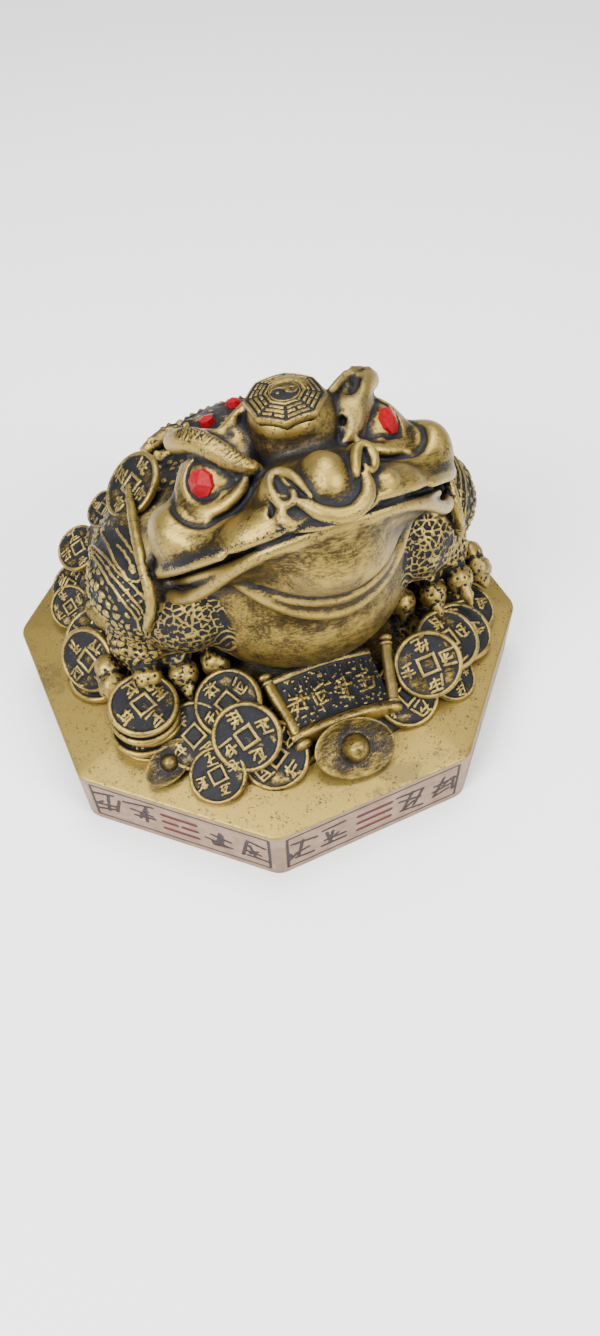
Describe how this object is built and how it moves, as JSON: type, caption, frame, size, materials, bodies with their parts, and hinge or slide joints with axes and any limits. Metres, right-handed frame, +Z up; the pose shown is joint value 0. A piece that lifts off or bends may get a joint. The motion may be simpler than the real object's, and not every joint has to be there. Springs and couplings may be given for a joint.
{
  "type": "money toad figure",
  "caption": "Money toad on an octagonal base, head tilted up over a heap of square-holed coins, with an open scroll, a boat-shaped ingot and red stone eyes.",
  "frame": {"origin": "centre of the octagonal base's underside", "axes": "+Z up; the base's front face looks towards -Y; +X is towards the toad's left side"},
  "size_m": [0.16, 0.16, 0.1261],
  "materials": {
    "antique_gold": "antique gold paint on cast resin, rubbed back over a blue-black ground that stays in the recesses",
    "red_stone": "cut and polished red acrylic stone"
  },
  "bodies": {
    "root": {"toad_casting": "antique_gold", "right_eye_gem": "red_stone", "left_eye_gem": "red_stone", "back_gem_1": "red_stone", "back_gem_2": "red_stone", "back_gem_3": "red_stone", "back_gem_4": "red_stone", "back_gem_5": "red_stone", "back_gem_6": "red_stone", "back_gem_7": "red_stone"}
  },
  "joints": []
}
